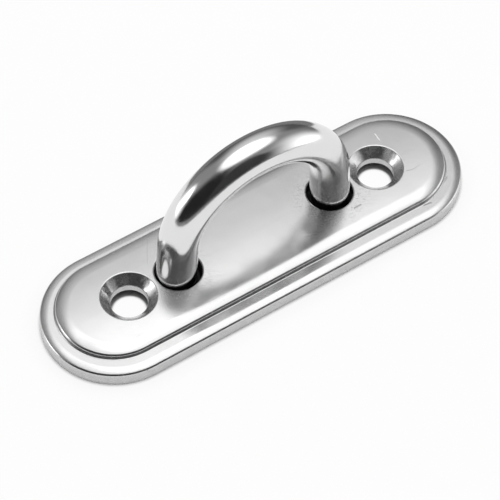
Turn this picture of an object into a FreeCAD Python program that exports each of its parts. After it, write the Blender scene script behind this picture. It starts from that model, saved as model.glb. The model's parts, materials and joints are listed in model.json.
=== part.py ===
import FreeCAD, Part
import math
import os

# Eye plate: a pressed oblong base plate with a bent round-bar bow welded through it.
# Millimetres. The origin is the middle of the trimmed outline on the plate's underside,
# +X runs along the plate and +Z points away from the deck.
#
# Polishing wears an upper edge in two bends: a wide gentle one that turns off the flat,
# then a tight one into the wall. Each such edge has three values here.

Vector = FreeCAD.Vector

# Sheet and its edges
sheet_thickness = 3.4
rim_gentle_radius = 4.0
rim_gentle_turn_deg = 22.0
rim_tight_radius = 0.35
bottom_edge_radius = 0.25

# Rim around the raised centre
side_rim = 3.0
end_rim = 3.0

# Raised centre, pressed up out of the sheet. Its outline is measured at the foot of the step.
raised_width = 23.2
press_rise = 1.6
wall_slope_deg = 12.0
shoulder_gentle_radius = 7.0
shoulder_gentle_turn_deg = 20.0
shoulder_tight_radius = 0.7
foot_radius = 0.2
# The outline was trimmed slightly off the pressing and off the holes, so both have middles
# of their own.
pressing_x = 0.1
pressing_y = 0.5
holes_x = 0.25
holes_y = 0.65

# Hollow on the underside, left by the pressing
hollow_wall = 2.2
hollow_lip_radius = 0.8
hollow_corner_radius = 0.6

# Bow of round bar
rod_diameter = 8.0
bow_height = 33.1
leg_splay_deg = 3.4
leg_end_above_deck = 0.3
leg_end_chamfer = 0.3

# Holes for the legs
leg_hole_spacing = 35.4
leg_hole_clearance = 0.65
hole_edge_radius = 0.2
# How the bow stands in its holes, as shares of the clearance: each leg stands outwards
# of its hole's middle, and the whole bow is set a little to the left.
leg_spread_share = 0.5
bow_side_share = -0.26

# Countersunk screw holes
screw_hole_diameter = 7.4
countersink_diameter = 11.2
countersink_angle_deg = 90.0
throat_radius = 0.4
# Flat left between a countersink and the leg hole beside it
hole_web = 0.95
# From a screw hole's middle to the end of the raised centre, were they centred together
screw_end_distance = 14.75

# Fillet welds under the sheet
weld_size = 1.3
weld_land = 0.3
weld_bulge = 0.2
weld_penetration = 0.6

# Sizes worked out from the values above
rod_radius = rod_diameter / 2
leg_hole_radius = rod_radius + leg_hole_clearance
screw_hole_radius = screw_hole_diameter / 2
countersink_radius = countersink_diameter / 2
screw_spacing = leg_hole_spacing + 2 * (leg_hole_radius + hole_web + countersink_radius)
raised_length = screw_spacing + 2 * screw_end_distance
plate_length = raised_length + 2 * end_rim
plate_width = raised_width + 2 * side_rim
straight_outline = plate_length - plate_width
straight_raised = raised_length - raised_width
ceiling = press_rise
plate_top = ceiling + sheet_thickness
wall_slope = math.tan(math.radians(wall_slope_deg))
cone_slope = math.tan(math.radians(countersink_angle_deg / 2))
splay = math.radians(leg_splay_deg)
bow_x = holes_x + bow_side_share * leg_hole_clearance

# How far cutters run past the faces that they cut
cut_margin = 1.0
# How close an edge lies to the height or outline that it is picked by
pick_tolerance = 0.001


def rounded_face(corners):
    """Flat face in the XZ plane. Each corner is (x, z, radius); radius 0 stays sharp."""
    starts = []
    ends = []
    arcs = []
    count = len(corners)
    for i, (x, z, radius) in enumerate(corners):
        here = Vector(x, 0, z)
        if radius == 0:
            starts.append(here)
            ends.append(here)
            arcs.append(None)
            continue
        before = Vector(corners[i - 1][0], 0, corners[i - 1][1])
        after = Vector(corners[(i + 1) % count][0], 0, corners[(i + 1) % count][1])
        back = (before - here).normalize()
        ahead = (after - here).normalize()
        half_angle = back.getAngle(ahead) / 2
        reach = radius / math.tan(half_angle)
        middle_line = (back + ahead).normalize()
        middle = here + middle_line * (radius / math.sin(half_angle) - radius)
        start = here + back * reach
        end = here + ahead * reach
        starts.append(start)
        ends.append(end)
        arcs.append(Part.Arc(start, middle, end).toShape())
    edges = []
    for i in range(count):
        if arcs[i] is not None:
            edges.append(arcs[i])
        following = starts[(i + 1) % count]
        if ends[i].distanceToPoint(following) > pick_tolerance:
            edges.append(Part.LineSegment(ends[i], following).toShape())
    return Part.Face(Part.Wire(edges))


def worn_edge(flat_z, wall_x, wall_z, slope, gentle_radius, gentle_turn_deg, tight_radius):
    """Corners where a wall turns into a flat: first the tight bend, then the gentle one.

    The wall runs through (wall_x, wall_z) and its slope is how far it leans in per height.
    """
    turn = math.radians(gentle_turn_deg)
    whole_turn = math.pi / 2 - math.atan(slope)
    gentle_part = gentle_radius * math.tan(turn / 2)
    tight_part = tight_radius * math.tan((whole_turn - turn) / 2)
    between = gentle_part + tight_part
    tight_z = flat_z - between * math.sin(turn)
    tight_x = wall_x - (tight_z - wall_z) * slope
    gentle_x = tight_x - between * math.cos(turn)
    return [(tight_x, tight_z, tight_radius), (gentle_x, flat_z, gentle_radius)]


def turned(face, x=0.0, y=0.0):
    """Solid of revolution of a half section about the vertical line through (x, y)."""
    solid = face.revolve(Vector(0, 0, 0), Vector(0, 0, 1), 360)
    solid.translate(Vector(x, y, 0))
    return solid


def round_ended(half_section, straight, x=0.0, y=0.0):
    """Oblong solid with round ends: a half section carried round a stadium outline."""
    ends = [turned(half_section, side * straight / 2) for side in (-1, 1)]
    across = half_section.copy()
    across.rotate(Vector(0, 0, 0), Vector(0, 0, 1), 90)
    across.translate(Vector(-straight / 2, 0, 0))
    far_half = across.extrude(Vector(straight, 0, 0))
    near_half = far_half.mirror(Vector(0, 0, 0), Vector(0, 1, 0))
    solid = far_half.fuse([near_half] + ends).removeSplitter()
    solid.translate(Vector(x, y, 0))
    return solid


def flat_edges(shape, height, is_wanted):
    """Edges that lie flat at one height and whose middle point is wanted."""
    found = []
    for edge in shape.Edges:
        box = edge.BoundBox
        if max(abs(box.ZMin - height), abs(box.ZMax - height)) > pick_tolerance:
            continue
        middle = edge.valueAt((edge.FirstParameter + edge.LastParameter) / 2)
        if is_wanted(middle):
            found.append(edge)
    return found


def depth_in_raised(point):
    """How far a point lies inside the raised centre's outline; negative outside."""
    past_straight = max(abs(point.x - pressing_x) - straight_raised / 2, 0.0)
    return raised_width / 2 - math.hypot(past_straight, point.y - pressing_y)


def blank():
    """The flat trimmed sheet with its worn upper edge."""
    half = plate_width / 2
    upper_edge = worn_edge(
        sheet_thickness, half, 0, 0, rim_gentle_radius, rim_gentle_turn_deg, rim_tight_radius)
    section = rounded_face(
        [(0, 0, 0), (half, 0, bottom_edge_radius)] + upper_edge + [(0, sheet_thickness, 0)])
    return round_ended(section, straight_outline)


def raised_centre():
    """The pressed-up middle: a sloped wall and a worn shoulder."""
    root = sheet_thickness / 2
    foot = raised_width / 2
    shoulder = worn_edge(
        plate_top, foot, sheet_thickness, wall_slope,
        shoulder_gentle_radius, shoulder_gentle_turn_deg, shoulder_tight_radius)
    root_x = foot + (sheet_thickness - root) * wall_slope
    section = rounded_face([(0, root, 0), (root_x, root, 0)] + shoulder + [(0, plate_top, 0)])
    return round_ended(section, straight_raised, pressing_x, pressing_y)


def hollow():
    """The space that the pressing leaves under the raised centre."""
    mouth = raised_width / 2 - hollow_wall
    section = rounded_face([
        (0, -cut_margin, 0),
        (mouth + cut_margin * wall_slope, -cut_margin, 0),
        (mouth - ceiling * wall_slope, ceiling, hollow_corner_radius),
        (0, ceiling, 0),
    ])
    return round_ended(section, straight_raised, pressing_x, pressing_y)


def screw_hole(side):
    """Cutter for one countersunk hole, with the edge at the throat rounded over."""
    cone_depth = (countersink_radius - screw_hole_radius) / cone_slope
    section = rounded_face([
        (0, ceiling - cut_margin, 0),
        (screw_hole_radius, ceiling - cut_margin, 0),
        (screw_hole_radius, plate_top - cone_depth, throat_radius),
        (countersink_radius + cut_margin * cone_slope, plate_top + cut_margin, 0),
        (0, plate_top + cut_margin, 0),
    ])
    return turned(section, holes_x + side * screw_spacing / 2, holes_y)


def leg_hole(side):
    """Cutter for the clearance hole that one leg of the bow passes through."""
    base = Vector(holes_x + side * leg_hole_spacing / 2, holes_y, ceiling - cut_margin)
    return Part.makeCylinder(leg_hole_radius, sheet_thickness + 2 * cut_margin, base)


def base_plate():
    """One pressed sheet: rim, raised centre, hollow underside and four holes."""
    plate = blank().fuse(raised_centre()).removeSplitter()

    def on_foot(point):
        return abs(depth_in_raised(point)) < pick_tolerance

    def on_mouth(point):
        return abs(depth_in_raised(point) - hollow_wall) < pick_tolerance

    def on_hole_mouth(point):
        along = abs(point.x - holes_x)
        across = point.y - holes_y
        mouths = ((screw_spacing, countersink_radius), (leg_hole_spacing, leg_hole_radius))
        return any(
            abs(math.hypot(along - spacing / 2, across) - radius) < pick_tolerance
            for spacing, radius in mouths)

    plate = plate.makeFillet(foot_radius, flat_edges(plate, sheet_thickness, on_foot))
    plate = plate.cut(hollow())
    plate = plate.makeFillet(hollow_lip_radius, flat_edges(plate, 0, on_mouth))
    plate = plate.cut([cutter(side) for cutter in (screw_hole, leg_hole) for side in (-1, 1)])
    return plate.makeFillet(hole_edge_radius, flat_edges(plate, plate_top, on_hole_mouth))


def bow_frame():
    """The bow's centre line: half spacing of the legs at deck level, arch radius and height."""
    # Both legs are tangent to one round arch. Their spacing is set halfway through the sheet.
    middle_height = ceiling + sheet_thickness / 2
    half_spacing = leg_hole_spacing / 2 + leg_spread_share * leg_hole_clearance
    half_spacing_at_deck = half_spacing + middle_height * math.tan(splay)
    crown = bow_height - rod_radius
    half_spacing_at_crown = half_spacing_at_deck - crown * math.tan(splay)
    radius = half_spacing_at_crown * math.cos(splay) / (1 - math.sin(splay))
    return half_spacing_at_deck, radius, crown - radius


def leg_foot(side):
    """End point of one leg's centre line and the direction that the leg rises in."""
    half_spacing_at_deck = bow_frame()[0]
    foot_x = side * (half_spacing_at_deck - leg_end_above_deck * math.tan(splay))
    foot = Vector(bow_x + foot_x, holes_y, leg_end_above_deck)
    direction = Vector(-side * math.sin(splay), 0, math.cos(splay))
    return foot, direction


def eye_bow():
    """Two straight legs and one round arch between them, bent from one bar."""
    radius, arch_height = bow_frame()[1:]
    centre = Vector(bow_x, holes_y, arch_height)
    legs = []
    for side in (-1, 1):
        foot, direction = leg_foot(side)
        spring = centre + Vector(side * math.cos(splay), 0, math.sin(splay)) * radius
        leg = Part.makeCylinder(rod_radius, (spring - foot).Length, foot, direction)
        end_rings = [edge for edge in leg.Edges
                     if edge.Curve.TypeId == "Part::GeomCircle"
                     and edge.Curve.Center.isEqual(foot, pick_tolerance)]
        legs.append(leg.makeChamfer(leg_end_chamfer, end_rings))
    start = centre + Vector(-math.cos(splay), 0, math.sin(splay)) * radius
    ring = Part.makeCircle(rod_radius, start, Vector(math.sin(splay), 0, math.cos(splay)))
    disc = Part.Face(Part.Wire([ring]))
    arch = disc.revolve(centre, Vector(0, 1, 0), 180 - 2 * leg_splay_deg)
    return arch.fuse(legs).removeSplitter()


def leg_weld(side, plate, bow):
    """Fillet weld ring between one leg and the underside of the sheet."""
    toe = Vector(rod_radius + weld_size, 0, 0)
    low = Vector(rod_radius + weld_land, 0, -weld_size)
    outward = Vector(weld_size, 0, low.x - toe.x).normalize()
    bulge = (toe + low) * 0.5 + outward * weld_bulge
    corners = [
        low,
        Vector(0, 0, -weld_size),
        Vector(0, 0, weld_penetration),
        Vector(toe.x, 0, weld_penetration),
        toe,
    ]
    edges = [Part.Arc(toe, bulge, low).toShape()]
    for first, second in zip(corners, corners[1:]):
        edges.append(Part.LineSegment(first, second).toShape())
    ring = turned(Part.Face(Part.Wire(edges)))
    foot, direction = leg_foot(side)
    ring.translate(foot + direction * ((ceiling - foot.z) / direction.z))
    return ring.cut([plate, bow])


def save(shape, name):
    """Write one node's solid and print its main measures."""
    solids = shape.Solids
    if len(solids) == 1:
        shape = solids[0]
    shape.exportStep(os.path.join("parts", name + ".step"))
    box = shape.optimalBoundingBox(False)
    print(f"{name}: {len(solids)} solid, {shape.Volume:.1f} mm3, valid {shape.isValid()}, "
          f"x {box.XMin:.2f}..{box.XMax:.2f}, y {box.YMin:.2f}..{box.YMax:.2f}, "
          f"z {box.ZMin:.2f}..{box.ZMax:.2f}")


def main():
    os.makedirs("parts", exist_ok=True)
    plate = base_plate()
    bow = eye_bow()
    save(plate, "base_plate")
    save(bow, "eye_bow")
    save(leg_weld(-1, plate, bow), "left_leg_weld")
    save(leg_weld(1, plate, bow), "right_leg_weld")


main()
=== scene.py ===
# %% [markdown]
# An eye plate of polished stainless steel, as it is bolted to a deck to tie lines to.
# A pressed plate carries a bow of bent round bar, which passes through two holes and is
# welded from below. Polished metal has almost no colour of its own: it shows its
# surroundings. So this lesson spends its effort on two things, exact smooth surfaces and
# a small studio worth reflecting.

import json
import math

import bpy
from mathutils import Matrix, Vector, noise
from mathutils.geometry import tessellate_polygon


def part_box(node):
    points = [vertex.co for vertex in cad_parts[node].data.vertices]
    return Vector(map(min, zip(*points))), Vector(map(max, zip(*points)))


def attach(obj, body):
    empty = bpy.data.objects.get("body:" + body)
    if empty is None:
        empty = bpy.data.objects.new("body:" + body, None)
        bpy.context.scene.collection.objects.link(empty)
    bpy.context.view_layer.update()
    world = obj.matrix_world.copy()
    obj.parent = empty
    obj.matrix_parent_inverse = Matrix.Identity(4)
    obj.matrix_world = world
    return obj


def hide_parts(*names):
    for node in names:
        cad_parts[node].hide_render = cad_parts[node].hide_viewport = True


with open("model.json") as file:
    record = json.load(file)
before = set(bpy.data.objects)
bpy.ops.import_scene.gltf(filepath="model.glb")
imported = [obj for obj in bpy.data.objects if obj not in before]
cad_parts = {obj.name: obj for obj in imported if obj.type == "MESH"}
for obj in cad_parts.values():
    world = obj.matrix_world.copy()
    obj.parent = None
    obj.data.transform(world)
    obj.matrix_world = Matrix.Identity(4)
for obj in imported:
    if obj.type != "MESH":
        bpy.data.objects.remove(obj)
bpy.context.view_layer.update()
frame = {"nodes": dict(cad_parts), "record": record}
MM = 0.001
print("solids in the frame:", ", ".join(sorted(frame["nodes"])))

# %% [markdown]
# The camera looks down on the object from its near left side, as in the photograph. The
# view was worked out by fitting the plate's outline and holes, so it is given as angles
# about a point on the deck, a distance and a lens. The far camera and long lens keep the
# perspective mild, as product pictures do.

# %% Camera
view_azimuth = math.radians(-34.34)
view_elevation = math.radians(53.88)
view_roll = math.radians(1.24)
view_target = Vector((-1.155, 0.148, 0.0)) * MM
view_distance = 450.0 * MM
view_lens = 164.6


def view_matrix():
    """Rotation whose columns are the camera's right, up and backward directions."""
    away = Vector((
        math.sin(view_azimuth) * math.cos(view_elevation),
        -math.cos(view_azimuth) * math.cos(view_elevation),
        math.sin(view_elevation),
    ))
    level = Vector((0, 0, 1)).cross(away).normalized()
    upward = away.cross(level)
    right = level * math.cos(view_roll) + upward * math.sin(view_roll)
    up = upward * math.cos(view_roll) - level * math.sin(view_roll)
    return Matrix((right, up, away)).transposed(), away


view_rotation, view_away = view_matrix()
camera = bpy.data.objects.new("camera", bpy.data.cameras.new("camera"))
camera.data.lens = view_lens
camera.matrix_world = (
    Matrix.Translation(view_target + view_away * view_distance) @ view_rotation.to_4x4()
)
bpy.context.scene.collection.objects.link(camera)
bpy.context.scene.camera = camera
bpy.context.scene.view_settings.view_transform = "Standard"
print("camera at", [round(c / MM) for c in camera.location], "mm")

# %% [markdown]
# The plate's driving sizes. Its length, width and height come from the frame, and the record
# says where the screw holes are. The pressing was struck a little off the middle of the
# outline. The rims and slopes are the press tool's own values: how far the raised middle
# stands back from the edge, and how far the hollow below stands back from that.

# %% Sizes of the plate
mounts = {mount["name"]: mount for mount in frame["record"]["mounts"]}
screw_mount = mounts["screw_holes"]
holes_middle = Vector(screw_mount["pos_m"][:2]) / MM
pressing_middle = Vector((0.1, 0.5))
plate_low, plate_high = (Vector(corner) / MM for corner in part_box("base_plate"))
plate_length = plate_high.x - plate_low.x
plate_width = plate_high.y - plate_low.y
plate_top = plate_high.z
sheet = 3.4
side_rim = 3.0
end_rim = 3.0
wall_slope = math.tan(math.radians(12))
hollow_wall = 2.2
ceiling = plate_top - sheet

outline_radius = plate_width / 2
outline_straight = plate_length / 2 - outline_radius
raised_radius = outline_radius - side_rim
raised_straight = plate_length / 2 - end_rim - raised_radius
hollow_radius = raised_radius - hollow_wall
print(f"plate {plate_length:.1f} x {plate_width:.1f} x {plate_top:.1f} mm")

# %% [markdown]
# Every rounded edge of the plate is a small arc between two straight runs of its section.
# A helper walks along the section and gives, for each ring of points, its distance out,
# its height and the direction that the surface faces there. Those exact directions later
# go into the mesh, so reflections run over the bends without facets, however few the faces.

# %% A section with rounded corners


def rounded_section(corners):
    """Rings (out, up, facing out, facing up) along a section given as (out, up, radius, steps)."""
    rings = []
    for before, here, after in zip(corners, corners[1:], corners[2:]):
        corner = Vector(here[:2])
        ahead_in = (corner - Vector(before[:2])).normalized()
        ahead_out = (Vector(after[:2]) - corner).normalized()
        radius, steps = here[2:]
        turn = ahead_in.angle_signed(ahead_out)
        start = corner - ahead_in * radius * math.tan(abs(turn) / 2)
        side = 1 if turn < 0 else -1
        facing_in = Vector((ahead_in.y, -ahead_in.x))
        middle = start - facing_in * radius * side
        for step in range(steps + 1):
            angle = -turn * step / steps
            facing = Vector((
                facing_in.x * math.cos(angle) - facing_in.y * math.sin(angle),
                facing_in.x * math.sin(angle) + facing_in.y * math.cos(angle),
            ))
            point = middle + facing * radius * side
            rings.append((point.x, point.y, facing.x, facing.y))
    return rings


# %% [markdown]
# A drum-polished edge is not one neat quarter circle. The abrasive wears the flat away
# gently at first and then quickly, so each edge is a wide shallow bend that runs into a
# small tight one. The next helper places the two corners whose roundings meet.

# %% An edge worn in two bends


def worn_edge(before, corner_line, gentle, tight):
    """Two corners that turn a flat into a wall. corner_line gives the wall as (out, up, lean);
    gentle and tight are (radius, steps), gentle also holds its turn in degrees."""
    flat_height = before[1]
    wall_out, wall_up, lean = corner_line
    gentle_radius, gentle_turn, gentle_steps = gentle
    tight_radius, tight_steps = tight
    turn = math.radians(gentle_turn)
    full = math.radians(90) - math.atan(lean)
    reach = gentle_radius * math.tan(turn / 2) + tight_radius * math.tan((full - turn) / 2)
    low_up = flat_height - reach * math.sin(turn)
    low_out = wall_out - (low_up - wall_up) * lean
    high = (low_out - reach * math.cos(turn), flat_height, gentle_radius, gentle_steps)
    return high, (low_out, low_up, tight_radius, tight_steps)


# %% [markdown]
# The plate could be a box with a few modifiers, but its outline and its pressing are two
# different ovals with slightly different middles, and metal shows every lump. Here each
# ring of a section is laid round an oblong with round ends. Rings of one piece all have
# the same number of points, so neighbours join with plain four-sided faces.

# %% Rings round an oblong and round a hole
end_steps = 56
straight_steps = 40
hole_steps = 96


class Shell:
    """Points, exact facings and faces of one closed surface, gathered ring by ring."""

    def __init__(self):
        self.points = []
        self.facings = []
        self.faces = []
        self.finishes = []

    def ring(self, points, facings):
        first = len(self.points)
        self.points += [Vector(p) for p in points]
        self.facings += [Vector(f).normalized() for f in facings]
        return list(range(first, len(self.points)))

    def join(self, rings, finish=0):
        for low, high in zip(rings, rings[1:]):
            count = len(low)
            for i in range(count):
                after = (i + 1) % count
                self.faces.append((low[i], low[after], high[after], high[i]))
                self.finishes.append(finish)

    def cap(self, outer, holes, finish, upward=True):
        """Fill a flat region between an outer ring and the rings of its holes."""
        loops = [outer] + holes
        flat = [[self.points[i] for i in loop] for loop in loops]
        index = [i for loop in loops for i in loop]
        for corners in tessellate_polygon(flat):
            face = [index[c] for c in corners]
            a, b, c = (self.points[i] for i in face)
            if ((b - a).cross(c - a).z > 0) != upward:
                face.reverse()
            self.faces.append(tuple(face))
            self.finishes.append(finish)

    def build(self, name, materials):
        mesh = bpy.data.meshes.new(name)
        mesh.from_pydata([p * MM for p in self.points], [], self.faces)
        for material in materials:
            mesh.materials.append(material)
        mesh.polygons.foreach_set("material_index", self.finishes)
        mesh.shade_smooth()
        mesh.normals_split_custom_set_from_vertices(self.facings)
        mesh.update()
        piece = bpy.data.objects.new(name, mesh)
        bpy.context.scene.collection.objects.link(piece)
        print(f"{name}: {len(mesh.polygons)} faces")
        return piece


def oblong_ring(shell, section_point, straight, middle=Vector((0, 0))):
    """One ring of a section point laid round an oblong with round ends."""
    out, up, facing_out, facing_up = section_point
    points = []
    facings = []
    for end in (1, -1):
        for step in range(end_steps):
            angle = math.pi * (step / end_steps - 0.5)
            direction = Vector((math.cos(angle), math.sin(angle))) * end
            x = middle.x + end * straight + out * direction.x
            points.append((x, middle.y + out * direction.y, up))
            facings.append((facing_out * direction.x, facing_out * direction.y, facing_up))
        for step in range(straight_steps):
            along = end * straight * (1 - 2 * step / straight_steps)
            points.append((middle.x + along, middle.y + end * out, up))
            facings.append((0, facing_out * end, facing_up))
    return shell.ring(points, facings)


def round_ring(shell, section_point, middle):
    """One ring of a section point turned about a vertical axis."""
    out, up, facing_out, facing_up = section_point
    points = []
    facings = []
    for step in range(hole_steps):
        angle = 2 * math.pi * step / hole_steps
        x, y = math.cos(angle), math.sin(angle)
        points.append((middle.x + out * x, middle.y + out * y, up))
        facings.append((facing_out * x, facing_out * y, facing_up))
    return shell.ring(points, facings)


# %% [markdown]
# The holes. Each screw hole is countersunk for a flat head, with a softly rounded throat.
# The leg holes are plain and a little larger than the bar, so a thin gap shows round
# each leg. Its walls are painted near black, a painted shade for the dark gap.

# %% Sizes of the holes
screw_side = screw_mount["dims"]["spacing_x_mm"] / 2
screw_radius = screw_mount["dims"]["hole_r_mm"]
leg_hole_side = 17.7
leg_hole_radius = 4.65
countersink_radius = 5.6
throat_radius = 0.4
hole_edge = 0.4
hidden_edge = 0.1
mouth_steps = 5
hidden_steps = 3
overrun = 1.0


def hole_section(radius, mouth_radius):
    """Section of a hole from the plate's top to the ceiling below; a wider mouth makes a cone."""
    corners = [(mouth_radius + overrun, plate_top), (mouth_radius, plate_top, hole_edge, mouth_steps)]
    if mouth_radius > radius:
        cone_depth = mouth_radius - radius
        corners.append((radius, plate_top - cone_depth, throat_radius, 8))
    corners += [(radius, ceiling, hidden_edge, hidden_steps), (radius + overrun, ceiling)]
    return rounded_section(corners)


screw_section = hole_section(screw_radius, countersink_radius)
leg_section = hole_section(leg_hole_radius, leg_hole_radius)
print(f"screw holes at {screw_side:.2f} mm, radius {screw_radius:.2f} mm")

# %% [markdown]
# A material for polished steel is mostly about what is wrong with the mirror. Real parts
# come out of the polishing drum with a faint unevenness, a haze that comes and goes, fine
# hairlines and a few pits. Each of these effects is one node group with its own inputs,
# so the plate, the bow, the cut edges and the welds can share them with other values.

# %% Short words for placing nodes


def place(tree, kind, inputs=None, **settings):
    """Add a node, set what it is told and link or set its inputs."""
    node = tree.nodes.new(kind)
    for name, value in settings.items():
        setattr(node, name, value)
    for name, value in (inputs or {}).items():
        if isinstance(value, bpy.types.NodeSocket):
            tree.links.new(value, node.inputs[name])
        else:
            node.inputs[name].default_value = value
    return node


def sum_up(tree, operation, first, second=0.0, third=0.0, clamp=False):
    """One Math node; gives its output."""
    node = place(tree, "ShaderNodeMath", {0: first, 1: second, 2: third}, operation=operation)
    node.use_clamp = clamp
    return node.outputs[0]


def spread(tree, value, low, high, to_low=0.0, to_high=1.0):
    """Map a value from one range to another, with soft clamped ends."""
    inputs = {0: value, 1: low, 2: high, 3: to_low, 4: to_high}
    return place(tree, "ShaderNodeMapRange", inputs, interpolation_type="SMOOTHSTEP").outputs[0]


def new_group(name, inputs, outputs):
    """An empty shader node group with named number inputs and outputs."""
    tree = bpy.data.node_groups.new(name, "ShaderNodeTree")
    for socket, value in inputs.items():
        made = tree.interface.new_socket(socket, in_out="INPUT", socket_type="NodeSocketFloat")
        made.default_value = value
    for socket in outputs:
        tree.interface.new_socket(socket, in_out="OUTPUT", socket_type="NodeSocketFloat")
    return tree, tree.nodes.new("NodeGroupInput").outputs, tree.nodes.new("NodeGroupOutput").inputs


def position_in_mm(tree):
    """The point on the object, in millimetres, so that every scale below is per millimetre."""
    here = place(tree, "ShaderNodeTexCoord").outputs["Object"]
    return place(tree, "ShaderNodeVectorMath", {0: here, "Scale": 1 / MM}, operation="SCALE").outputs[0]


# %% [markdown]
# Unevenness: the surface swells and sinks by a few thousandths of a millimetre over
# several millimetres. It bends straight reflections a little. Haze: the polish is never
# the same all over, so the roughness drifts between two values in soft clouds.

# %% Groups for unevenness and haze


def uneven_group():
    tree, given, out = new_group("unevenness", {"Size": 6.0}, ["Height"])
    frequency = sum_up(tree, "DIVIDE", 1.0, given["Size"])
    texture = place(tree, "ShaderNodeTexNoise", {
        "Vector": position_in_mm(tree), "Scale": frequency, "Detail": 1.5, "Roughness": 0.4,
    })
    tree.links.new(texture.outputs[0], out["Height"])
    return tree


def haze_group():
    tree, given, out = new_group("haze", {"Size": 9.0, "Low": 0.1, "High": 0.2}, ["Roughness"])
    frequency = sum_up(tree, "DIVIDE", 1.0, given["Size"])
    texture = place(tree, "ShaderNodeTexNoise", {
        "Vector": position_in_mm(tree), "Scale": frequency, "Detail": 5.0, "Roughness": 0.6,
        "Distortion": 0.4,
    })
    drift = spread(tree, texture.outputs[0], 0.36, 0.64, given["Low"], given["High"])
    tree.links.new(drift, out["Roughness"])
    return tree


unevenness = uneven_group()
haze = haze_group()

# %% [markdown]
# Hairlines: long thin scratches left by the last wheel and by handling. A noise that is
# stretched a hundred times in one direction gives bundles of lines; only its peaks are
# kept. Pits: tiny dark points from the sheet itself, as sparse cells of a cell texture.

# %% Groups for hairlines and pits


def hairline_group():
    tree, given, out = new_group(
        "hairlines", {"Angle": 0.0, "Width": 0.08, "Length": 14.0, "Share": 0.3}, ["Mask"])
    turned = place(tree, "ShaderNodeVectorRotate", {
        "Vector": position_in_mm(tree), "Angle": given["Angle"],
    }, rotation_type="Z_AXIS")
    along = sum_up(tree, "DIVIDE", 1.0, given["Length"])
    across = sum_up(tree, "DIVIDE", 1.0, given["Width"])
    stretch = place(tree, "ShaderNodeCombineXYZ", {0: along, 1: across, 2: across})
    line = place(tree, "ShaderNodeVectorMath", {
        0: turned.outputs[0], 1: stretch.outputs[0],
    }, operation="MULTIPLY")
    texture = place(tree, "ShaderNodeTexNoise", {
        "Vector": line.outputs[0], "Scale": 0.5, "Detail": 2.0, "Roughness": 0.5,
    })
    floor_level = sum_up(tree, "SUBTRACT", 0.75, sum_up(tree, "MULTIPLY", given["Share"], 0.3))
    peak = sum_up(tree, "ADD", floor_level, 0.06)
    tree.links.new(spread(tree, texture.outputs[0], floor_level, peak), out["Mask"])
    return tree


def pit_group():
    tree, given, out = new_group("pits", {"Spacing": 1.2, "Radius": 0.08, "Share": 0.4}, ["Mask"])
    frequency = sum_up(tree, "DIVIDE", 1.0, given["Spacing"])
    cells = place(tree, "ShaderNodeTexVoronoi", {
        "Vector": position_in_mm(tree), "Scale": frequency, "Randomness": 1.0,
    }, feature="F1", distance="EUCLIDEAN")
    chance = place(tree, "ShaderNodeSeparateColor", {0: cells.outputs["Color"]}).outputs
    kept = sum_up(tree, "LESS_THAN", chance[0], given["Share"])
    size = sum_up(tree, "MULTIPLY", given["Radius"], sum_up(tree, "ADD", chance[1], 0.4))
    far = sum_up(tree, "MULTIPLY", cells.outputs["Distance"], given["Spacing"])
    inner = sum_up(tree, "MULTIPLY", size, 0.4)
    spot = spread(tree, far, inner, size, 1.0, 0.0)
    tree.links.new(sum_up(tree, "MULTIPLY", spot, kept), out["Mask"])
    return tree


hairlines = hairline_group()
pits = pit_group()

# %% [markdown]
# Scuffs: the part was handled and test-fitted, and the wear shows most where tools slip
# round the legs. The mask is strongest beside the legs and fades away from them. It is
# broken up by short strokes and by small specks, so that it never looks like a round spot.

# %% Group for scuffs round the legs
stroke_angle = 0.55
stroke_stretch = (0.8, 3.6, 1.0)


def scuff_group():
    tree, given, out = new_group("scuffs", {"Reach": 6.0, "Left share": 0.4}, ["Mask"])
    here = position_in_mm(tree)
    near = 0.0
    for side, share in ((1, 1.0), (-1, given["Left share"])):
        leg = (holes_middle.x + side * leg_hole_side, holes_middle.y, plate_top)
        away = place(tree, "ShaderNodeVectorMath", {0: here, 1: leg}, operation="DISTANCE")
        past = sum_up(tree, "SUBTRACT", away.outputs["Value"], leg_hole_radius)
        past = sum_up(tree, "DIVIDE", past, given["Reach"])
        closeness = sum_up(tree, "MULTIPLY", spread(tree, past, 0.0, 1.0, 1.0, 0.0), share)
        near = sum_up(tree, "MAXIMUM", closeness, near)
    turned = place(tree, "ShaderNodeVectorRotate", {
        "Vector": here, "Angle": stroke_angle,
    }, rotation_type="Z_AXIS")
    stretched = place(tree, "ShaderNodeVectorMath", {
        0: turned.outputs[0], 1: stroke_stretch,
    }, operation="MULTIPLY")
    strokes = place(tree, "ShaderNodeTexNoise", {
        "Vector": stretched.outputs[0], "Scale": 1.0, "Detail": 3.0, "Roughness": 0.6,
    }).outputs[0]
    specks = place(tree, "ShaderNodeTexNoise", {
        "Vector": here, "Scale": 2.6, "Detail": 3.0, "Roughness": 0.65,
    }).outputs[0]
    stroke_mask = spread(tree, strokes, 0.5, 0.8)
    speck_mask = spread(tree, specks, 0.58, 0.68)
    broken = sum_up(tree, "MAXIMUM", stroke_mask, speck_mask)
    tree.links.new(sum_up(tree, "MULTIPLY", near, broken), out["Mask"])
    return tree


scuffs = scuff_group()

# %% [markdown]
# Scratches: a few single marks show on the top and on the rim. Each is a short line with a
# place, a direction, a length and a width, all in millimetres and radians on the deck. A
# noise makes it ragged. A fresh scratch is brighter than the sheet and an old one darker.

# %% Group for single scratches


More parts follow.
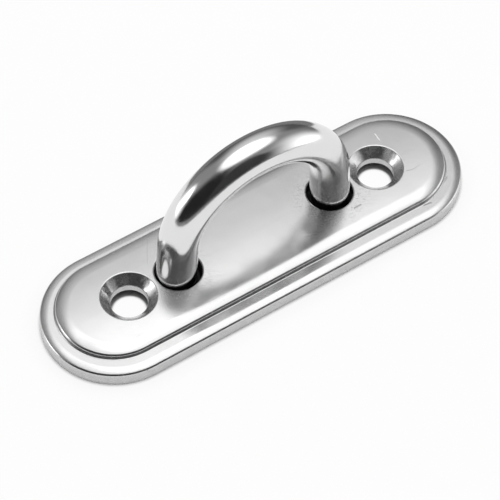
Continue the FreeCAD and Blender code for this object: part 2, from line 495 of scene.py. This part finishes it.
def scratch_group():
    tree, given, out = new_group(
        "scratch", {"X": 0.0, "Y": 0.0, "Angle": 0.0, "Length": 1.5, "Width": 0.12}, ["Mask"])
    here = position_in_mm(tree)
    middle = place(tree, "ShaderNodeCombineXYZ", {0: given["X"], 1: given["Y"]}).outputs[0]
    turn_back = sum_up(tree, "MULTIPLY", given["Angle"], -1.0)
    turned = place(tree, "ShaderNodeVectorRotate", {
        "Vector": here, "Center": middle, "Angle": turn_back,
    }, rotation_type="Z_AXIS").outputs[0]
    moved = place(tree, "ShaderNodeVectorMath", {0: turned, 1: middle}, operation="SUBTRACT")
    along, across, up = place(tree, "ShaderNodeSeparateXYZ", {0: moved.outputs[0]}).outputs
    ragged = place(tree, "ShaderNodeTexNoise", {
        "Vector": here, "Scale": 3.0, "Detail": 2.0, "Roughness": 0.6,
    }).outputs[0]
    half_share = sum_up(tree, "MULTIPLY_ADD", ragged, 0.6, 0.2)
    half_length = sum_up(tree, "MULTIPLY", given["Length"], half_share)
    within = sum_up(tree, "LESS_THAN", sum_up(tree, "ABSOLUTE", along), half_length)
    half_width = sum_up(tree, "MULTIPLY", given["Width"], ragged)
    away = sum_up(tree, "DIVIDE", sum_up(tree, "ABSOLUTE", across), half_width)
    line = spread(tree, away, 0.4, 1.2, 1.0, 0.0)
    tree.links.new(sum_up(tree, "MULTIPLY", line, within), out["Mask"])
    return tree


scratch = scratch_group()

# %% [markdown]
# One function makes each steel. It takes the colour of the metal and how strong each
# effect is. The shader stays in the material and the groups only feed it with masks and
# values. Pits and scuffs are darker and duller than the sheet, hairlines only catch light
# through the bump.

# %% The steel itself
pit_dulling = 0.25
scuff_dulling = 0.3
line_dulling = 0.05
pit_depth = 0.02
scuff_colour = (0.12, 0.12, 0.12)


def use_group(tree, group, **inputs):
    node = tree.nodes.new("ShaderNodeGroup")
    node.node_tree = group
    for name, value in inputs.items():
        node.inputs[name].default_value = value
    return node.outputs[0]


def steel(name, colour, polish, swell, lines, spots, metal=1.0, scuffed=0.0, marks=()):
    """A steel material. polish is (cloud size, low, high) roughness; swell is (size, height);
    lines is (angle, width, length, share, depth); spots is (spacing, radius, share, darkness).
    metal under 1 lets the polish scatter some light like chalk; scuffed is the scuffs' strength.
    Each of the marks is a scratch (x, y, angle, length, width, grey)."""
    material = bpy.data.materials.new(name)
    material.use_nodes = True
    tree = material.node_tree
    shader = tree.nodes["Principled BSDF"]
    shader.inputs["Metallic"].default_value = metal

    rough = use_group(tree, haze, Size=polish[0], Low=polish[1], High=polish[2])
    line = use_group(tree, hairlines, Angle=lines[0], Width=lines[1], Length=lines[2], Share=lines[3])
    pit = use_group(tree, pits, Spacing=spots[0], Radius=spots[1], Share=spots[2])
    swelling = use_group(tree, unevenness, Size=swell[0])
    scuff = sum_up(tree, "MULTIPLY", use_group(tree, scuffs), scuffed)

    dark = tuple(c * (1 - spots[3]) for c in colour)
    tint = place(tree, "ShaderNodeMix", {
        "Factor": pit, 6: (*colour, 1.0), 7: (*dark, 1.0),
    }, data_type="RGBA")
    worn = place(tree, "ShaderNodeMix", {
        "Factor": scuff, 6: tint.outputs[2], 7: (*scuff_colour, 1.0),
    }, data_type="RGBA")
    for x, y, angle, length, width, grey in marks:
        mark = use_group(tree, scratch, X=x, Y=y, Angle=angle, Length=length, Width=width)
        worn = place(tree, "ShaderNodeMix", {
            "Factor": mark, 6: worn.outputs[2], 7: (grey, grey, grey, 1.0),
        }, data_type="RGBA")
    tree.links.new(worn.outputs[2], shader.inputs["Base Color"])
    duller = sum_up(tree, "MULTIPLY_ADD", pit, pit_dulling, rough)
    duller = sum_up(tree, "MULTIPLY_ADD", scuff, scuff_dulling, duller)
    duller = sum_up(tree, "MULTIPLY_ADD", line, line_dulling, duller, clamp=True)
    tree.links.new(duller, shader.inputs["Roughness"])

    wave = place(tree, "ShaderNodeBump", {
        "Height": swelling, "Distance": swell[1] * MM, "Strength": 1.0,
    })
    cut = sum_up(tree, "MULTIPLY", line, -lines[4])
    dents = sum_up(tree, "MULTIPLY_ADD", pit, -pit_depth, cut)
    fine = place(tree, "ShaderNodeBump", {
        "Height": dents, "Distance": MM, "Strength": 1.0, "Normal": wave.outputs[0],
    })
    tree.links.new(fine.outputs[0], shader.inputs["Normal"])
    return material


# %% [markdown]
# The steels of this part. The wheel reaches flats best, so the pressed bends are a little
# coarser than the sheet and the sheared edge and the turned cones coarser yet. The bar is a
# mirror with a few marks. Scratches sit where the photograph shows them.

# %% The steels of this part
plate_colour = (0.62, 0.62, 0.62)
edge_colour = (0.58, 0.58, 0.58)
# The next colour is a painted shade: near black for the walls of the leg holes and the hidden sides of
# the weld beads, where the gaps lie in shade.
gap_shade_colour = (0.03, 0.03, 0.03)
bow_colour = (0.76, 0.76, 0.76)
weld_colour = (0.56, 0.55, 0.54)

scratches = (
    (33.9, 6.9, -1.66, 2.0, 0.24, 1.0),
    (34.4, -3.6, -0.4, 1.4, 0.3, 0.5),
    (35.8, -3.7, 0.14, 2.0, 0.24, 0.52),
    (20.5, -5.4, -0.02, 1.6, 0.5, 0.38),
    (33.1, -11.5, -0.14, 1.9, 0.4, 0.35),
    (39.8, -8.5, 0.49, 1.6, 0.5, 0.45),
    (-20.2, 7.6, -2.13, 5.5, 0.12, 0.5),
)

polished_plate = steel(
    "polished_plate", plate_colour, (9.0, 0.17, 0.24), (6.0, 0.02),
    (0.35, 0.1, 16.0, 0.2, 0.0004), (2.4, 0.07, 0.3, 0.35), metal=0.84, scuffed=0.6,
    marks=scratches)
pressed_bend = steel(
    "pressed_bend", plate_colour, (1.2, 0.12, 0.22), (0.8, 0.02),
    (0.0, 0.12, 4.0, 0.3, 0.001), (0.55, 0.11, 0.5, 0.5), metal=0.9)
sheared_edge = steel(
    "sheared_edge", edge_colour, (1.5, 0.22, 0.4), (0.9, 0.05),
    (0.0, 0.15, 3.0, 0.5, 0.003), (0.5, 0.08, 0.5, 0.5), metal=0.84)
turned_cone = steel(
    "turned_cone", edge_colour, (2.0, 0.15, 0.3), (2.0, 0.12),
    (0.9, 0.08, 3.0, 0.5, 0.002), (0.8, 0.06, 0.5, 0.6), metal=0.86)
# A painted shade, not a finish of the metal: the leg-hole walls and the beads' hidden sides are made
# near black and dull for the shade in the gaps.
sooty_gap = steel(
    "sooty_gap", gap_shade_colour, (1.5, 0.5, 0.7), (0.8, 0.05),
    (1.57, 0.12, 2.0, 0.5, 0.003), (0.5, 0.08, 0.5, 0.5), metal=0.5)
plain_underside = steel(
    "plain_underside", plate_colour, (5.0, 0.28, 0.42), (3.0, 0.02),
    (0.05, 0.12, 20.0, 0.6, 0.002), (0.9, 0.09, 0.6, 0.4))
mirror_bar = steel(
    "mirror_bar", bow_colour, (4.0, 0.1, 0.17), (4.5, 0.012),
    (1.2, 0.1, 9.0, 0.3, 0.0008), (1.6, 0.08, 0.4, 0.5))
weld_metal = steel(
    "weld_metal", weld_colour, (0.8, 0.28, 0.5), (0.6, 0.05),
    (0.0, 0.1, 2.0, 0.2, 0.001), (0.6, 0.1, 0.6, 0.6))
print("steels:", ", ".join(material.name for material in bpy.data.materials if material.node_tree))

# %% [markdown]
# The pressed plate, put together from its sections. Going round the section once, from
# the ceiling of the hollow over the lip, the deck face, the cut edge, the rim, the foot of
# the step and its shoulder up to the top, gives a skin. The holes pierce it, and the flat
# ceiling and the flat top close it between the rings. The mesh has no open edge.

# %% Sections of the pressed plate
shoulder_gentle = (7.0, 20, 24)
shoulder_tight = (0.7, 12)
rim_gentle = (4.0, 22, 14)
rim_tight = (0.65, 12)
foot = (0.2, 6)
bottom_edge = (0.25, 5)
hollow_corner = (0.6, 5)
hollow_lip = (0.8, 8)

shoulder_wall = (raised_radius, sheet, wall_slope)
step_high, step_low = worn_edge((0, plate_top), shoulder_wall, shoulder_gentle, shoulder_tight)
rim_high, rim_low = worn_edge((0, sheet), (outline_radius, 0, 0.0), rim_gentle, rim_tight)

hollow_section = rounded_section([
    (0, ceiling),
    (hollow_radius - ceiling * wall_slope, ceiling, *hollow_corner),
    (hollow_radius, 0, *hollow_lip),
    (hollow_radius + overrun, 0),
])
cut_section = rounded_section([
    (outline_radius - overrun, 0),
    (outline_radius, 0, *bottom_edge),
    rim_low,
    rim_high,
    (0, sheet),
])
step_section = rounded_section([
    (raised_radius + overrun, sheet),
    (raised_radius, sheet, *foot),
    step_low,
    step_high,
    (0, plate_top),
])
print(f"sections of {len(hollow_section)}, {len(cut_section)} and {len(step_section)} rings")

# %% [markdown]
# Each bend of n steps has n + 1 rings, which tells where one finish ends and the next
# begins: sheared wall, coarser bends, polished flats. The top isn't quite flat. Pressing
# leaves it a little higher along its middle line, and the reflections show it.

# %% Pressed plate

TOP, BEND, EDGE, CONE, GAP, BELOW = range(6)
crown_per_mm = 0.0025
last_bottom = bottom_edge[1]
last_rim_bend = last_bottom + 1 + rim_tight[1]
last_shoulder_bend = foot[1] + 1 + shoulder_tight[1]


def crown_plate(shell):
    """Let the top fall away to both sides of its middle line, as a pressed top does."""
    for point, facing in zip(shell.points, shell.facings):
        share = min(max((point.z - sheet) / (plate_top - sheet), 0.0), 1.0)
        off = point.y - pressing_middle.y
        point.z -= crown_per_mm * off * off * share
        if facing.z > 0:
            facing.y += 2 * crown_per_mm * off * facing.z * share
            facing.normalize()


def pressed_plate():
    shell = Shell()
    hollow = [oblong_ring(shell, p, raised_straight, pressing_middle) for p in hollow_section]
    cut = [oblong_ring(shell, p, outline_straight) for p in cut_section]
    step = [oblong_ring(shell, p, raised_straight, pressing_middle) for p in step_section]
    shell.join(hollow + cut[:1], BELOW)
    shell.join(cut[:last_bottom + 1], BELOW)
    shell.join(cut[last_bottom:last_bottom + 2], EDGE)
    shell.join(cut[last_bottom + 1:last_rim_bend + 1], BEND)
    shell.join(cut[last_rim_bend:] + step[:1], TOP)
    shell.join(step[:last_shoulder_bend + 1], BEND)
    shell.join(step[last_shoulder_bend:], TOP)
    mouths = []
    lower_mouths = []
    for side in (-1, 1):
        holes = ((screw_side, screw_section), (leg_hole_side, leg_section))
        for distance, section in holes:
            middle = holes_middle + Vector((side * distance, 0))
            rings = [round_ring(shell, p, middle) for p in section]
            wall = len(rings) - 1 - (hidden_steps + 1)
            shell.join(rings[:mouth_steps + 1], TOP)
            shell.join(rings[mouth_steps:wall + 1], CONE)
            # The walls of the leg holes take the painted shade of the gaps.
            shell.join(rings[wall:], GAP if distance == leg_hole_side else EDGE)
            mouths.append(rings[0])
            lower_mouths.append(rings[-1])
    shell.cap(step[-1], mouths, TOP)
    shell.cap(hollow[0], lower_mouths, BELOW, upward=False)
    crown_plate(shell)
    finishes = [polished_plate, pressed_bend, sheared_edge, turned_cone, sooty_gap, plain_underside]
    return shell.build("pressed_plate", finishes)


plate = pressed_plate()

# %% [markdown]
# The bow is one bar of even thickness, bent round a former: two straight legs, slightly
# splayed, that run into one round arch. A curve with a round bevel would do, but its ends
# would be open and its facings rounded off by the renderer. Rings set square to the
# bar's middle line give the same tube with exact facings and a chamfered end.

# %% Sizes of the bow
bow_low, bow_high = (Vector(corner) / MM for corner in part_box("eye_bow"))
rod_radius = 4.0
splay = math.radians(3.4)
leg_end = 0.3
leg_chamfer = 0.3
bow_middle = Vector(((bow_low.x + bow_high.x) / 2, (bow_low.y + bow_high.y) / 2, 0))
crown = bow_high.z - rod_radius
# Each leg is widest where the chamfer at its end begins.
widest = (bow_high.x - bow_low.x) / 2
leg_side_at_deck = (
    widest - rod_radius * math.cos(splay) + leg_end * math.tan(splay) + leg_chamfer * math.sin(splay)
)
arch_radius = (leg_side_at_deck - crown * math.tan(splay)) * math.cos(splay) / (1 - math.sin(splay))
arch_middle = bow_middle + Vector((0, 0, crown - arch_radius))
print(f"bar {2 * rod_radius:.1f} mm, legs {leg_side_at_deck:.2f} mm off the middle at the deck, "
      f"arch radius {arch_radius:.2f} mm")

# %% Polished bow
bar_steps = 96
arch_steps = 180
bar_end_section = rounded_section([
    (0, 0),
    (rod_radius - leg_chamfer, 0, 0.05, 3),
    (rod_radius, leg_chamfer, 0.1, 3),
    (rod_radius, 2),
])


def bar_ring(shell, middle, ahead, section_point=(rod_radius, 0, 1, 0)):
    """One ring square to the bar's direction; along and facing count forwards."""
    out, along, facing_out, facing_along = section_point
    sideways = Vector((0, 1, 0))
    inward = sideways.cross(ahead)
    points = []
    facings = []
    for step in range(bar_steps):
        angle = 2 * math.pi * step / bar_steps
        direction = inward * math.cos(angle) + sideways * math.sin(angle)
        points.append(middle + ahead * along + direction * out)
        facings.append(direction * facing_out + ahead * facing_along)
    return shell.ring(points, facings)


def polished_bow():
    shell = Shell()
    rings = []
    foot_side = leg_side_at_deck - leg_end * math.tan(splay)
    start = bow_middle + Vector((-foot_side, 0, leg_end))
    rise = Vector((math.sin(splay), 0, math.cos(splay)))
    finish = bow_middle + Vector((foot_side, 0, leg_end))
    fall = Vector((math.sin(splay), 0, -math.cos(splay)))
    rings += [bar_ring(shell, start, rise, p) for p in bar_end_section]
    for step in range(arch_steps + 1):
        angle = math.pi - splay - (math.pi - 2 * splay) * step / arch_steps
        out = Vector((math.cos(angle), 0, math.sin(angle)))
        ahead = Vector((math.sin(angle), 0, -math.cos(angle)))
        rings.append(bar_ring(shell, arch_middle + out * arch_radius, ahead))
    for out, along, facing_out, facing_along in reversed(bar_end_section):
        rings.append(bar_ring(shell, finish, fall, (out, -along, facing_out, -facing_along)))
    shell.join(rings)
    for face in (tuple(reversed(rings[0])), tuple(rings[-1])):
        shell.faces.append(face)
        shell.finishes.append(0)
    return shell.build("polished_bow", [mirror_bar])


bow = polished_bow()

# %% [markdown]
# Below the plate each leg is held by a fillet weld that runs round it in the hollow. A
# welder lays it as a row of small overlapping pools, so the bead has ripples. They are
# modelled as a ring whose outer side swells and sinks with the angle, a little unevenly.

# %% Weld beads
weld_size = 1.3
weld_land = 0.3
weld_bulge = 0.2
bead_steps = 240
bead_pools = 30
bead_curve_steps = 12
ripple_height = 0.1
drift_height = 0.06
pool_shift = 0.8
hidden_overlap = 0.1
hidden_rise = 0.6


def bead_section():
    """Outer side of the bead from the plate's ceiling to the bar, then the hidden inner side."""
    toe = Vector((rod_radius + weld_size, ceiling))
    low = Vector((rod_radius + weld_land, ceiling - weld_size))
    across = Vector((weld_size, low.x - toe.x)).normalized()
    rows = []
    for step in range(bead_curve_steps + 1):
        share = step / bead_curve_steps
        swell = weld_bulge * 4 * share * (1 - share)
        rows.append((toe.lerp(low, share) + across * swell, math.sin(math.pi * share)))
    inner = rod_radius - hidden_overlap
    above = ceiling + hidden_rise
    outer = toe.x - hidden_overlap / 2
    hidden = [(inner, low.y), (inner, above), (outer, above), (outer, ceiling)]
    return rows + [(Vector(corner), 0.0) for corner in hidden], across


def weld_bead(name, side):
    middle = bow_middle + Vector((side * (leg_side_at_deck - ceiling * math.tan(splay)), 0, 0))
    rows, across = bead_section()
    mesh_points = []
    faces = []
    for step in range(bead_steps):
        angle = 2 * math.pi * step / bead_steps
        drift = noise.noise(Vector((math.cos(angle) * 1.5, math.sin(angle) * 1.5, side)))
        pool = (angle * bead_pools / (2 * math.pi) + drift * pool_shift) % 1.0
        height = ripple_height * (math.sin(math.pi * pool) ** 0.5 - 0.6) + drift_height * drift
        for point, share in rows:
            moved = point + across * height * share
            mesh_points.append(Vector((
                middle.x + moved.x * math.cos(angle), middle.y + moved.x * math.sin(angle), moved.y,
            )) * MM)
    count = len(rows)
    finishes = []
    for step in range(bead_steps):
        low = step * count
        high = (step + 1) % bead_steps * count
        for i in range(count):
            after = (i + 1) % count
            faces.append((low + i, high + i, high + after, low + after))
            finishes.append(1 if i > bead_curve_steps else 0)
    mesh = bpy.data.meshes.new(name)
    mesh.from_pydata(mesh_points, [], faces)
    mesh.materials.append(weld_metal)
    # The bead's hidden inner side takes the painted shade of the gaps.
    mesh.materials.append(sooty_gap)
    mesh.polygons.foreach_set("material_index", finishes)
    mesh.shade_smooth()
    piece = bpy.data.objects.new(name, mesh)
    bpy.context.scene.collection.objects.link(piece)
    print(f"{name}: {len(faces)} faces")
    return piece


left_bead = weld_bead("left_weld_bead", -1)
right_bead = weld_bead("right_weld_bead", 1)

# %% [markdown]
# The four pieces stand for the four solids of the frame, and all ride on its one body.

# %% Tie the pieces to the frame
for piece, node, slot in (
    (plate, "base_plate", "polished_plate"),
    (bow, "eye_bow", "mirror_bar"),
    (left_bead, "left_leg_weld", "weld_bead"),
    (right_bead, "right_leg_weld", "weld_bead"),
):
    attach(piece, "root")
    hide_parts(node)

# %% [markdown]
# The floor is plain white paper. Pictures for a catalogue are whitened round the object,
# so to the camera and in reflections the paper glows. Towards the plate the glow fades, a
# painted contact shadow. Under the plate there is none and the paper's colour is painted
# grey, a painted shade: that place, its holes' far sides and the gaps round the legs fall
# dark as on a table. Under each screw hole the glow comes back, a painted patch of light.

# %% Floor
floor_half = 2.5
paper_white = 0.97
# The paper's colour under the plate is a painted shade, grey where the plate shades it.
painted_shade_on_paper = 0.45
glow_share = 0.95
# Each fade of painted shade runs from its first to its second distance off the plate's
# outline, and the last one, which brings back a painted patch of light, from the middle of a screw
# hole.
under_plate = (-2.0, -0.8)
contact_shade = (-0.3, 0.7)
wide_shade = (0.5, 4.5)
wide_shade_depth = 0.07
hole_shade = (3.0, 3.7)


def floor_material():
    material = bpy.data.materials.new("white_paper")
    material.use_nodes = True
    tree = material.node_tree
    tree.nodes.clear()
    glow = place(tree, "ShaderNodeEmission", {"Color": (1.0, 1.0, 1.0, 1.0), "Strength": 1.0})
    x, y, z = place(tree, "ShaderNodeSeparateXYZ", {0: position_in_mm(tree)}).outputs
    past = sum_up(tree, "SUBTRACT", sum_up(tree, "ABSOLUTE", x), outline_straight)
    past = sum_up(tree, "MAXIMUM", past, 0.0)
    off = place(tree, "ShaderNodeVectorMath", {
        0: place(tree, "ShaderNodeCombineXYZ", {0: past, 1: y}).outputs[0],
    }, operation="LENGTH").outputs["Value"]
    off = sum_up(tree, "SUBTRACT", off, outline_radius)
    open_paper = spread(tree, off, *under_plate)
    # The glow fades towards the plate as a painted contact shadow and comes back under each screw hole
    # as a painted patch of light.
    clear = sum_up(tree, "MULTIPLY", spread(tree, off, *contact_shade),
                   spread(tree, off, *wide_shade, 1 - wide_shade_depth, 1.0))
    for side in (-1, 1):
        hole = (holes_middle.x + side * screw_side, holes_middle.y, 0)
        away = place(tree, "ShaderNodeVectorMath", {
            0: position_in_mm(tree), 1: hole,
        }, operation="DISTANCE").outputs["Value"]
        inside = spread(tree, away, *hole_shade, 1.0, 0.0)
        clear = sum_up(tree, "MAXIMUM", clear, inside)
        open_paper = sum_up(tree, "MAXIMUM", open_paper, inside)
    # Under the plate the paper's colour is painted down to grey, a painted shade.
    white = spread(tree, open_paper, 0.0, 1.0, painted_shade_on_paper, paper_white)
    paper = place(tree, "ShaderNodeBsdfDiffuse", {"Color": white})
    path = place(tree, "ShaderNodeLightPath").outputs
    seen = sum_up(tree, "ADD", path["Is Camera Ray"], path["Is Glossy Ray"])
    seen = sum_up(tree, "ADD", seen, path["Is Transmission Ray"], clamp=True)
    share = sum_up(tree, "MULTIPLY", sum_up(tree, "MULTIPLY", seen, clear), glow_share)
    mix = place(tree, "ShaderNodeMixShader", {0: share, 1: paper.outputs[0], 2: glow.outputs[0]})
    place(tree, "ShaderNodeOutputMaterial", {"Surface": mix.outputs[0]})
    return material


def flat_stage_piece(name, corners, material):
    mesh = bpy.data.meshes.new(name)
    mesh.from_pydata([Vector(c) for c in corners], [], [tuple(range(len(corners)))])
    mesh.materials.append(material)
    piece = bpy.data.objects.new(name, mesh)
    bpy.context.scene.collection.objects.link(piece)
    return piece


floor_corners = [(x * floor_half, y * floor_half, 0) for x, y in ((-1, -1), (1, -1), (1, 1), (-1, 1))]
floor = flat_stage_piece("floor", floor_corners, floor_material())

# %% [markdown]
# The light is a tent round the table, as photographers use for shiny things: a grey dome
# with soft bright and dark areas. Each area is an oval, given by where its middle is seen
# from the object, how wide and high it is in degrees, how soft its rim is and how bright
# it is. Behind the camera the tent is open to a dark room, which gives the metal its deep
# tones. Every oval is painted over the ones before it by the same node group.

# %% Tent of light
tent_radius = 1.5


def oval_group():
    names = {"Light": 0.2, "Brightness": 1.0, "Azimuth": 0.0, "Elevation": 0.0,
             "Half width": 20.0, "Half height": 20.0, "Softness": 0.3}
    tree, given, out = new_group("oval of light", names, ["Light"])
    here = place(tree, "ShaderNodeNewGeometry").outputs["Position"]
    unit = place(tree, "ShaderNodeVectorMath", {0: here}, operation="NORMALIZE").outputs[0]
    level = place(tree, "ShaderNodeVectorRotate", {
        "Vector": unit, "Angle": sum_up(tree, "RADIANS", given["Azimuth"]),
    }, rotation_type="Z_AXIS")
    lowered = sum_up(tree, "MULTIPLY", sum_up(tree, "RADIANS", given["Elevation"]), -1.0)
    faced = place(tree, "ShaderNodeVectorRotate", {
        "Vector": level.outputs[0], "Angle": lowered,
    }, rotation_type="X_AXIS")
    x, y, z = place(tree, "ShaderNodeSeparateXYZ", {0: faced.outputs[0]}).outputs
    off = sum_up(tree, "DEGREES", sum_up(tree, "ARCCOSINE", y))
    wide = sum_up(tree, "DIVIDE", x, given["Half width"])
    high = sum_up(tree, "DIVIDE", z, given["Half height"])
    plain = place(tree, "ShaderNodeCombineXYZ", {0: x, 1: z})
    scaled = place(tree, "ShaderNodeCombineXYZ", {0: wide, 1: high})
    plain_length, scaled_length = (
        place(tree, "ShaderNodeVectorMath", {0: v.outputs[0]}, operation="LENGTH").outputs["Value"]
        for v in (plain, scaled)
    )
    share = sum_up(tree, "DIVIDE", sum_up(tree, "MULTIPLY", off, scaled_length), plain_length)
    inside = sum_up(tree, "SUBTRACT", 1.0, given["Softness"])
    outside = sum_up(tree, "ADD", 1.0, given["Softness"])
    mask = spread(tree, share, inside, outside, 1.0, 0.0)
    light = place(tree, "ShaderNodeMix", {0: mask, 2: given["Light"], 3: given["Brightness"]})
    tree.links.new(light.outputs[0], out["Light"])
    return tree


# Brightness, azimuth, elevation, half width, half height and softness. Azimuth 0 is
# straight behind the object and 90 is its right end.
tent_ovals = (
    ("upper grey", 0.28, -25, 76, 84, 71, 0.1),
    ("far low grey", 0.10, 28, 19, 40, 32, 0.27),
    ("dark room", 0.02, -124, -15, 50, 85, 0.23),
    ("near dark", 0.045, 180, 8, 28, 46, 0.1),
    ("left lamp", 1.8, -58, 2, 18, 15.5, 0.87),
    ("right lamp", 2.1, 118, -14, 27, 39, 0.76),
    ("left window", 3.2, -59, 20, 11, 9, 0.6),
    ("far sheet", 0.73, 25, 60, 24, 41, 0.57),
    ("overhead sheet", 2.3, 55, 82, 27, 26, 0.35),
    ("zenith sheet", 1.4, 0, 90, 21, 21, 0.3),
    ("overhead lamp", 2.7, 60, 84, 11, 9, 0.4),
)
tent_grey = 0.13


def tent():
    material = bpy.data.materials.new("tent_light")
    material.use_nodes = True
    tree = material.node_tree
    tree.nodes.clear()
    oval = oval_group()
    light = tent_grey
    for name, *numbers in tent_ovals:
        node = tree.nodes.new("ShaderNodeGroup")
        node.node_tree = oval
        node.label = name
        if isinstance(light, bpy.types.NodeSocket):
            tree.links.new(light, node.inputs["Light"])
        else:
            node.inputs["Light"].default_value = light
        for socket, value in zip(list(node.inputs)[1:], numbers):
            socket.default_value = value
        light = node.outputs[0]
    glow = place(tree, "ShaderNodeEmission", {"Color": light, "Strength": 1.0})
    place(tree, "ShaderNodeOutputMaterial", {"Surface": glow.outputs[0]})

    rows, columns = 24, 96
    points = []
    faces = []
    for row in range(rows):
        height = math.pi / 2 * row / rows
        for column in range(columns):
            turn = 2 * math.pi * column / columns
            points.append(Vector((
                math.cos(height) * math.cos(turn), math.cos(height) * math.sin(turn), math.sin(height),
            )) * tent_radius)
    points.append(Vector((0, 0, tent_radius)))
    for row in range(rows):
        for column in range(columns):
            after = (column + 1) % columns
            low = row * columns
            if row == rows - 1:
                faces.append((low + column, low + after, len(points) - 1))
            else:
                faces.append((low + column, low + after, low + columns + after, low + columns + column))
    mesh = bpy.data.meshes.new("light_tent")
    mesh.from_pydata(points, [], faces)
    mesh.materials.append(material)
    piece = bpy.data.objects.new("light_tent", mesh)
    bpy.context.scene.collection.objects.link(piece)
    piece.visible_camera = False
    print(f"tent: {len(faces)} faces, {len(tent_ovals)} ovals of light")


tent()

# %% [markdown]
# Two grey cards lie on the paper and are seen only in reflections. One is just behind the
# object, one corner towards it, and draws the outline of the bow's far sides. The other
# is in front and stands for the table's edge, where the white paper ends.

# %% Cards on the table
card_height = 0.3 * MM


def card(name, grey, corner, turn_deg, width, depth):
    """A level card that reaches ahead and to the right of its near left corner."""
    material = bpy.data.materials.new(name)
    material.use_nodes = True
    tree = material.node_tree
    tree.nodes.clear()
    glow = place(tree, "ShaderNodeEmission", {"Color": (grey, grey, grey, 1.0), "Strength": 1.0})
    place(tree, "ShaderNodeOutputMaterial", {"Surface": glow.outputs[0]})
    turn = math.radians(turn_deg)
    ahead = Vector((math.sin(turn), math.cos(turn), 0)) * depth
    right = Vector((math.cos(turn), -math.sin(turn), 0)) * width
    start = Vector((corner[0], corner[1], 0)) * MM + Vector((0, 0, card_height))
    corners = [start, start + right, start + right + ahead, start + ahead]
    piece = flat_stage_piece(name, corners, material)
    piece.visible_camera = False
    piece.visible_diffuse = False
    piece.visible_shadow = False


card("grey_card", 0.22, (12.5, 21.7), -25, 1.2, 1.2)
card("table_edge", 0.23, (781, -647), -150, 2.0, 1.2)

# %% [markdown]
# The sky beyond the tent is plain white, for cameras that look past the floor.

# %% World and sizes
world = bpy.data.worlds.new("white_surround")
world.use_nodes = True
world.node_tree.nodes["Background"].inputs["Color"].default_value = (1.0, 1.0, 1.0, 1.0)
bpy.context.scene.world = world
